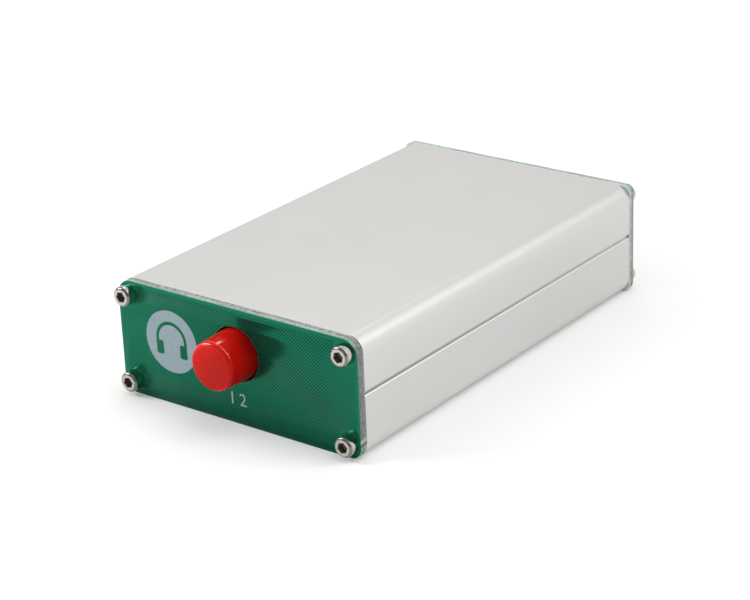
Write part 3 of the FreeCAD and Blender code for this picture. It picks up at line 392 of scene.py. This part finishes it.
M = {
    "aluminium": aluminium(),
    "mask_front": mask_face("solder_mask_front", -24.6),
    "mask_rear": mask_face("solder_mask_rear", -60.0),
    "edge_front": board_edge("board_edge_front", -54.5, (0.54, 0.59, 0.56), (0.165, 0.19, 0.175), 0.56, (0.14, 0.33, 0.24), 0.0, 4.3),
    "edge_rear": board_edge("board_edge_rear", 52.5, (0.585, 0.625, 0.605), (0.315, 0.395, 0.36), 0.61, (0.56, 0.62, 0.59), 0.30, -99.0, 1.0),
    "mask_plain": plain("solder_mask_plain", (0.010, 0.135, 0.070), (0.013, 0.165, 0.088), 300, (0.20, 0.28), bump=0.06),
    "mask_pale": plain("solder_mask_thin", (0.35, 0.53, 0.44), (0.40, 0.58, 0.485), 900, (0.40, 0.55), bump=0.1),
    "nickel": nickel(),
    "nickel_satin": nickel("satin_nickel", 1.0, (0.19, 0.28)),
    # painted reflection: the screw shoulders get this darker base, standing in for the dark room they reflect
    "nickel_painted_dark_shoulder": nickel("nickel_shoulder_painted_reflection", 0.42, (0.05, 0.09)),
    "recess": hex_dark(),
    "red": red_plastic(),
    "ink": ink(),
    "ivory": plain("ivory_acetal", (0.66, 0.61, 0.49), (0.74, 0.70, 0.58), 900, (0.38, 0.5)),
    "black": plain("black_moulding", (0.018, 0.018, 0.02), (0.035, 0.035, 0.037), 2200, (0.42, 0.58), bump=0.25),
    "brown": plain("phenolic_plate", (0.20, 0.105, 0.045), (0.31, 0.175, 0.08), 1400, (0.45, 0.6), bump=0.2),
    "tin": plain("tinned_sheet", (0.55, 0.55, 0.54), (0.68, 0.68, 0.67), 1500, (0.24, 0.38), 1.0, 0.08, (1, 0.1, 1)),
    "bronze": plain("phosphor_bronze", (0.62, 0.42, 0.2), (0.74, 0.54, 0.28), 1800, (0.2, 0.32), 1.0, 0.06),
    "steel": plain("spring_wire", (0.38, 0.38, 0.39), (0.52, 0.52, 0.53), 2600, (0.2, 0.34), 1.0, 0.08),
    "solder": plain("bright_solder", (0.62, 0.62, 0.63), (0.76, 0.76, 0.77), 1600, (0.14, 0.26), 1.0, 0.1),
}


# ---------------------------------------------------------------- mesh helpers
def add_object(name, mesh, body):
    o = bpy.data.objects.new(name, mesh)
    scene.collection.objects.link(o)
    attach(o, body)
    return o


def shade(mesh, degrees):
    mesh.polygons.foreach_set("use_smooth", [True] * len(mesh.polygons))
    mesh.set_sharp_from_angle(angle=math.radians(degrees))
    mesh.update()


def arc(cx, cz, r, a0, a1, n):
    return [(cx + r * math.cos(math.radians(a0 + (a1 - a0) * i / n)), cz + r * math.sin(math.radians(a0 + (a1 - a0) * i / n)))
            for i in range(n + 1)]


def circle(cx, cz, r, n=72):
    return arc(cx, cz, r, 0, 360, n)[:-1]


def flat_mesh(name, loops, thick, bevel=0.0, steps=1):
    """A flat plate in its own XY plane from closed outlines in mm; the fill leaves inner outlines open."""
    curve = bpy.data.curves.new(name + "_outline", "CURVE")
    curve.dimensions = "2D"
    curve.fill_mode = "BOTH"
    for pts in loops:
        s = curve.splines.new("POLY")
        s.points.add(len(pts) - 1)
        for p, (a, b) in zip(s.points, pts):
            p.co = (a * MM, b * MM, 0, 1)
        s.use_cyclic_u = True
    curve.extrude = (thick / 2 - bevel) * MM
    if bevel:
        curve.bevel_depth = bevel * MM
        curve.bevel_resolution = steps
        curve.offset = -bevel * MM
    temp = bpy.data.objects.new(name + "_temp", curve)
    scene.collection.objects.link(temp)
    bpy.context.view_layer.update()
    mesh = bpy.data.meshes.new_from_object(temp.evaluated_get(bpy.context.evaluated_depsgraph_get()))
    bpy.data.objects.remove(temp)
    bpy.data.curves.remove(curve)
    mesh.name = name
    bm = bmesh.new()
    bm.from_mesh(mesh)
    bmesh.ops.remove_doubles(bm, verts=bm.verts, dist=2e-7)
    bmesh.ops.recalc_face_normals(bm, faces=bm.faces)
    bm.to_mesh(mesh)
    bm.free()
    return mesh


def stand_up(mesh, y_mid, facing=-1):
    """Turns a flat plate so that its plane is XZ at y_mid, readable from the front (facing -1) or the rear (+1)."""
    if facing < 0:
        m = Matrix(((1, 0, 0, 0), (0, 0, -1, y_mid * MM), (0, 1, 0, 0), (0, 0, 0, 1)))
    else:
        m = Matrix(((-1, 0, 0, 0), (0, 0, 1, y_mid * MM), (0, 1, 0, 0), (0, 0, 0, 1)))
    mesh.transform(m)
    return mesh


def lathe(name, rings, n=128, closed=False):
    """Turns a profile of (radius, y) in mm about the Y axis; a radius of 0 makes a single pole point."""
    bm = bmesh.new()
    rows = []
    for r, y in rings:
        if r <= 1e-9:
            rows.append([bm.verts.new((0, y * MM, 0))])
        else:
            rows.append([bm.verts.new((r * MM * math.cos(2 * math.pi * i / n), y * MM, r * MM * math.sin(2 * math.pi * i / n)))
                         for i in range(n)])
    pairs = list(zip(rows, rows[1:])) + ([(rows[-1], rows[0])] if closed else [])
    for a, b in pairs:
        for i in range(n):
            j = (i + 1) % n
            loop = [a[i % len(a)], a[j % len(a)], b[j % len(b)], b[i % len(b)]]
            loop = [v for k, v in enumerate(loop) if v not in loop[:k]]
            if len(loop) > 2:
                bm.faces.new(loop)
    bmesh.ops.recalc_face_normals(bm, faces=bm.faces)
    mesh = bpy.data.meshes.new(name)
    bm.to_mesh(mesh)
    bm.free()
    return mesh


# ---------------------------------------------------------------- end boards
def board(name, y0, y1, r_top, r_low, holes, mask, edge, hidden, node):
    outline = (arc(33 - r_top, 27 - r_top, r_top, 0, 90, 20) + arc(-33 + r_top, 27 - r_top, r_top, 90, 180, 20)
               + arc(-33 + r_low, r_low, r_low, 180, 270, 18) + arc(33 - r_low, r_low, r_low, 270, 360, 18))
    loops = [outline] + [circle(sx * 30, z, 1.45, 40) for sx in (-1, 1) for z in (3.25, 23.75)] + holes
    mesh = flat_mesh(name, loops, y1 - y0, 0.07, 1)
    stand_up(mesh, (y0 + y1) / 2)
    mesh.materials.append(mask)
    mesh.materials.append(edge)
    mesh.materials.append(hidden)
    outer = -1 if y0 < 0 else 1
    for p in mesh.polygons:
        p.material_index = 1 if abs(p.normal.y) < 0.98 else 0 if p.normal.y * outer > 0 else 2
    shade(mesh, 30)
    o = add_object(name, mesh, "chassis")
    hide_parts(node)
    return o


board("front_board", -54.5, -52.5, 3.8, 2.8, [circle(0, 16.35, 6.4, 96)], M["mask_front"], M["edge_front"], M["mask_plain"], "front_panel")
board("rear_board", 52.5, 54.5, 2.0, 2.0, [circle(x, 14.5, 3.1, 64) for x in (-19, 0, 19)], M["mask_rear"], M["edge_rear"], M["mask_pale"], "rear_panel")


# ---------------------------------------------------------------- screws
def hexagon_ring(flats, n, turn):
    """Points of a hexagon at n even angles, flats across in mm, turned by so many degrees."""
    pts = []
    for i in range(n):
        a = 2 * math.pi * i / n
        k = (a + math.pi / 6) % (math.pi / 3) - math.pi / 6
        b = a + math.radians(turn)
        pts.append((flats / 2 / math.cos(k) * math.cos(b), flats / 2 / math.cos(k) * math.sin(b)))
    return pts


def screw_mesh(name, spots, face, side):
    """Socket-head cap screws: y runs from the head's underside at the face outwards for side -1."""
    n = 96
    bm = bmesh.new()
    head, r = 2.5, 2.32
    rings = [("c", 0.0, head - 1.55), ("h", 0.6, head - 1.3), ("h", 1.08, head - 1.3), ("h", 1.10, head - 0.07), ("h", 1.17, head)]
    # shoulder: a crisp edge, a long even slope and a tighter turn into the side
    out, drop = r - 0.532, 0.0
    rings.append(("r", out - 0.05, head))
    for step in range(18):
        turn_from, turn_to = math.radians(5 * step), math.radians(5 * step + 5)
        bend = 0.15 if step < 4 else 0.85 if step < 12 else 0.25
        rings.append(("r", out, head - drop))
        out += bend * (math.sin(turn_to) - math.sin(turn_from))
        drop += bend * (math.cos(turn_from) - math.cos(turn_to))
    rings += [("r", r, head - drop), ("r", r, 0.14), ("r", r - 0.04, 0.04), ("r", r - 0.14, 0.0), ("r", 1.2, 0.0), ("r", 1.2, -7.6), ("r", 0.8, -8.0), ("c", 0.0, -8.0)]
    for x, z, turn in spots:
        rows = []
        hexa = hexagon_ring(2.0, n, turn)
        swing = math.radians(turn)
        for kind, a, y in rings:
            w = (face + side * y) * MM
            if kind == "c":
                rows.append([bm.verts.new((x * MM, w, z * MM))])
            elif kind == "h":
                rows.append([bm.verts.new(((x + a * p) * MM, w, (z + a * q) * MM)) for p, q in hexa])
            else:
                rows.append([bm.verts.new(((x + a * math.cos(2 * math.pi * i / n + swing)) * MM, w,
                                               (z + a * math.sin(2 * math.pi * i / n + swing)) * MM))
                             for i in range(n)])
        for k, (a, b) in enumerate(zip(rows, rows[1:])):
            for i in range(n):
                j = (i + 1) % n
                loop = [a[i % len(a)], a[j % len(a)], b[j % len(b)], b[i % len(b)]]
                loop = [v for q, v in enumerate(loop) if v not in loop[:q]]
                if len(loop) > 2:
                    f = bm.faces.new(loop)
                    # index 2 on the shoulder rows takes the darker nickel, a painted dark reflection
                    f.material_index = 1 if k < 4 else 2 if 8 <= k <= 22 else 0
    bmesh.ops.recalc_face_normals(bm, faces=bm.faces)
    mesh = bpy.data.meshes.new(name)
    bm.to_mesh(mesh)
    bm.free()
    mesh.materials.append(M["nickel"])
    mesh.materials.append(M["recess"])
    mesh.materials.append(M["nickel_painted_dark_shoulder"])
    shade(mesh, 32)
    return mesh


spots = [(-30, 3.25, -18), (-30, 23.75, -21), (30, 3.25, -15), (30, 23.75, -12)]
for name, face, side, node in (("front_screws", -54.5, -1, "front_panel_screws"), ("rear_screws", 54.5, 1, "rear_panel_screws")):
    o = add_object(name, screw_mesh(name, spots, face, side), "chassis")
    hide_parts(node)

# ---------------------------------------------------------------- red cap
rings = [(0.0, 0.0), (1.0, 0.006), (2.0, 0.023), (3.0, 0.052), (3.8, 0.083), (4.5, 0.115), (4.66, 0.13), (4.8, 0.165), (4.88, 0.15)]
for k in range(0, 15):
    a = math.radians(8 + 80 * k / 14)
    rings.append((5.66 - 0.70 + 0.70 * math.sin(a), 0.115 + 1.15 - 1.15 * math.cos(a)))
rings += [(5.675, 1.6), (5.70, 2.4), (5.83, 5.5), (5.95, 8.2), (6.05, 10.7), (6.06, 10.88), (6.0, 11.0), (4.9, 11.0), (4.78, 10.88), (4.3, 1.5), (2.6, 1.5), (2.6, 10.3),
          (2.2, 10.3), (2.2, 4.5), (0.0, 4.5)]
mesh = lathe("push_cap", [(r, y - 62.5) for r, y in rings], 160)
mesh.transform(Matrix.Translation((0, 0, 16.35 * MM)))
mesh.materials.append(M["red"])
shade(mesh, 35)
cap = add_object("push_cap", mesh, "button")
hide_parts("button_cap")


# ---------------------------------------------------------------- printed legend
def print_piece(name, loops, y_face, facing, thick=0.016):
    mesh = flat_mesh(name, loops, thick)
    stand_up(mesh, y_face + facing * thick / 2, facing)
    mesh.materials.append(M["ink"])
    return add_object(name, mesh, "chassis")


def headphone_glyph(cx, cz, s=1.0):
    """Plain pictogram of a headband and two ear pads as one outline."""
    pts = arc(0, 0.3, 4.5, 180, 0, 40)
    pts += [(4.5, -2.9)] + arc(4.0, -3.0, 0.5, 0, -90, 5) + arc(2.9, -3.0, 0.5, -90, -180, 5)
    pts += arc(2.9, -0.7, 0.5, 180, 90, 5) + [(3.7, -0.2)]
    pts += arc(0, 0.3, 3.7, 0, 180, 36)
    pts += [(-3.7, -0.2)] + arc(-2.9, -0.7, 0.5, 90, 0, 5) + arc(-2.9, -3.0, 0.5, 0, -90, 5)
    pts += arc(-4.0, -3.0, 0.5, -90, -180, 5)
    return [(cx + s * a, cz + s * b) for a, b in pts]


print_piece("legend_disc", [circle(-18.2, 15.0, 7.3, 120), headphone_glyph(-18.2, 15.0, 0.98)], -54.5, -1)


def digits(name, items, y_face, facing, size, thick=0.016):
    """Plain numbers; items are (text, x, z) with x the middle of the figure as read."""
    bm = bmesh.new()
    for text, x, z in items:
        curve = bpy.data.curves.new(name + "_text", "FONT")
        curve.body = text
        curve.size = size * MM
        curve.align_x = "CENTER"
        curve.extrude = thick / 2 * MM
        curve.resolution_u = 6
        temp = bpy.data.objects.new(name + "_temp", curve)
        scene.collection.objects.link(temp)
        bpy.context.view_layer.update()
        part = bpy.data.meshes.new_from_object(temp.evaluated_get(bpy.context.evaluated_depsgraph_get()))
        part.transform(Matrix.Translation((x * MM, z * MM, 0)))
        bm.from_mesh(part)
        bpy.data.meshes.remove(part)
        bpy.data.objects.remove(temp)
        bpy.data.curves.remove(curve)
    bmesh.ops.remove_doubles(bm, verts=bm.verts, dist=2e-7)
    bmesh.ops.recalc_face_normals(bm, faces=bm.faces)
    mesh = bpy.data.meshes.new(name)
    bm.to_mesh(mesh)
    bm.free()
    stand_up(mesh, y_face + facing * thick / 2, facing)
    mesh.materials.append(M["ink"])
    return add_object(name, mesh, "chassis")


digits("legend_positions", [("1", -1.6, 4.5), ("2", 1.4, 4.5)], -54.5, -1, 4.2)
digits("legend_outputs", [("1", 19.0, 20.6), ("2", -19.0, 20.6)], 54.5, 1, 3.6)

# ---------------------------------------------------------------- return spring
turns, coil_r, wire = 5, 2.6, 0.2
y_front, y_back = -50.7 + 0.22, -44.5 - 0.2
n_turn, n_ring = 48, 12
bm = bmesh.new()
steps = turns * n_turn
rows = []
for i in range(steps + 1):
    a = 2 * math.pi * i / n_turn
    y = y_front + (y_back - y_front) * i / steps
    centre = Vector((coil_r * math.cos(a), y, 16.35 + coil_r * math.sin(a)))
    out = Vector((math.cos(a), 0, math.sin(a)))
    rise = (y_back - y_front) / steps * n_turn / (2 * math.pi)
    tangent = Vector((-coil_r * math.sin(a), rise, coil_r * math.cos(a))).normalized()
    side = tangent.cross(out)
    rows.append([bm.verts.new((centre + (out * math.cos(b) + side * math.sin(b)) * wire) * MM)
                 for b in (2 * math.pi * k / n_ring for k in range(n_ring))])
for a, b in zip(rows, rows[1:]):
    for k in range(n_ring):
        bm.faces.new((a[k], a[(k + 1) % n_ring], b[(k + 1) % n_ring], b[k]))
bm.faces.new(rows[0])
bm.faces.new(list(reversed(rows[-1])))
bmesh.ops.recalc_face_normals(bm, faces=bm.faces)
mesh = bpy.data.meshes.new("return_coil")
bm.to_mesh(mesh)
bm.free()
mesh.materials.append(M["steel"])
shade(mesh, 50)
coil = add_object("return_coil", mesh, "chassis")
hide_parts("return_spring")
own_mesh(coil)

# ---------------------------------------------------------------- carried-over nodes
finish = {"lower_shell": "aluminium", "upper_shell": "aluminium", "switch_plunger": "ivory", "moving_contact_left": "bronze",
          "moving_contact_right": "bronze", "switch_housing": "black", "switch_base": "brown", "switch_terminals": "tin",
          "switch_frame": "tin", "latch_pin": "steel", "main_board": "mask_plain", "solder_joints": "solder",
          "jack_nuts": "nickel_satin", "jack_washers": "nickel"}
for label in ("common", "output_1", "output_2"):
    finish[label + "_jack_bush"] = "nickel"
    finish[label + "_jack_housing"] = "black"
    for part in ("tip", "ring", "sleeve"):
        finish["%s_jack_%s_contact" % (label, part)] = "bronze"
for name, key in finish.items():
    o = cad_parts[name]
    o.data.materials.clear()
    o.data.materials.append(M[key])

# ---------------------------------------------------------------- floor and light
floor_mesh = bpy.data.meshes.new("floor")
floor_mesh.from_pydata([(-6, -6, 0), (6, -6, 0), (6, 6, 0), (-6, 6, 0)], [], [(0, 1, 2, 3)])
floor = bpy.data.objects.new("floor", floor_mesh)
scene.collection.objects.link(floor)
floor.location = (0, 0, -0.00005)
floor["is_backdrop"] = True
t = Tree("floor_paper")
t.set(base=(0.86, 0.86, 0.86), rough=0.9, spec=0.1)
t.bsdf.inputs["Emission Color"].default_value = (1.0, 1.0, 1.0, 1.0)
t.bsdf.inputs["Emission Strength"].default_value = 0.11
floor_mesh.materials.append(t.material)

world = bpy.data.worlds.new("studio")
scene.world = world
world.use_nodes = True
wn = world.node_tree
coord = wn.nodes.new("ShaderNodeTexCoord")


def dim_zone(direction, near, far, full, least):
    """Strength that falls from full to least towards a direction of the light tent."""
    dot = wn.nodes.new("ShaderNodeVectorMath")
    dot.operation = "DOT_PRODUCT"
    dot.inputs[1].default_value = direction
    ramp = wn.nodes.new("ShaderNodeMapRange")
    ramp.interpolation_type = "SMOOTHSTEP"
    ramp.inputs["From Min"].default_value, ramp.inputs["From Max"].default_value = near, far
    ramp.inputs["To Min"].default_value, ramp.inputs["To Max"].default_value = full, least
    wn.links.new(coord.outputs["Generated"], dot.inputs[0])
    wn.links.new(dot.outputs["Value"], ramp.inputs["Value"])
    return ramp.outputs[0]


# Light tent, even all round but for its open, darker front on the right, two smaller gaps at the front and a brighter wall at the rear right.
front_gap = dim_zone((0.61, -0.67, 0.42), 0.80, 0.92, 0.97, 0.36)
rear_glow = dim_zone((0.60, 0.70, 0.38), 0.66, 0.99, 0.99, 1.20)
left_gap = dim_zone((-0.50, -0.76, 0.42), 0.90, 0.97, 1.0, 0.45)
brow_gap = dim_zone((0.02, -0.60, 0.80), 0.92, 0.98, 1.0, 0.40)
pair = wn.nodes.new("ShaderNodeMath")
pair.operation = "MULTIPLY"
wn.links.new(front_gap, pair.inputs[0])
wn.links.new(rear_glow, pair.inputs[1])
both = wn.nodes.new("ShaderNodeMath")
both.operation = "MULTIPLY"
wn.links.new(pair.outputs[0], both.inputs[0])
wn.links.new(left_gap, both.inputs[1])
every = wn.nodes.new("ShaderNodeMath")
every.operation = "MULTIPLY"
wn.links.new(both.outputs[0], every.inputs[0])
wn.links.new(brow_gap, every.inputs[1])
wn.nodes["Background"].inputs["Color"].default_value = (1.0, 0.995, 0.985, 1)
wn.links.new(every.outputs[0], wn.nodes["Background"].inputs["Strength"])


def softbox(name, toward, far, along, size, power):
    """Area light in a direction from the object, so far away in metres, its long side parallel to a vector."""
    data = bpy.data.lights.new(name, "AREA")
    data.shape = "RECTANGLE"
    data.size, data.size_y = size
    data.energy = power
    o = bpy.data.objects.new(name, data)
    scene.collection.objects.link(o)
    out = Vector(toward).normalized()
    a = Vector(along)
    a = (a - out * a.dot(out)).normalized()
    b = out.cross(a)
    c = out * far + Vector((0, -0.03, 0.015))
    o.matrix_world = Matrix(((a.x, b.x, out.x, c.x), (a.y, b.y, out.y, c.y), (a.z, b.z, out.z, c.z), (0, 0, 0, 1)))
    return o


softbox("left_strip", (-0.74, -0.42, 0.52), 0.85, (0.705, -0.48, 0.52), (0.50, 0.12), 3.2)
softbox("right_strip", (0.61, 0.47, 0.60), 1.50, (-0.38, 0.01, 0.385), (0.62, 0.06), 1.65)
softbox("rear_strip", (-0.36, 0.58, 0.72), 0.90, (0.6, 0.0, 0.3), (0.22, 0.06), 0.2)
softbox("top_light", (0.35, 0.10, 0.93), 0.80, (1, 0, 0), (0.5, 0.4), 1.2)

# ---------------------------------------------------------------- sizes
made_low, made_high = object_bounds()
print("cad box", list(cad_low), list(cad_high))
print("visual box", list(made_low), list(made_high))
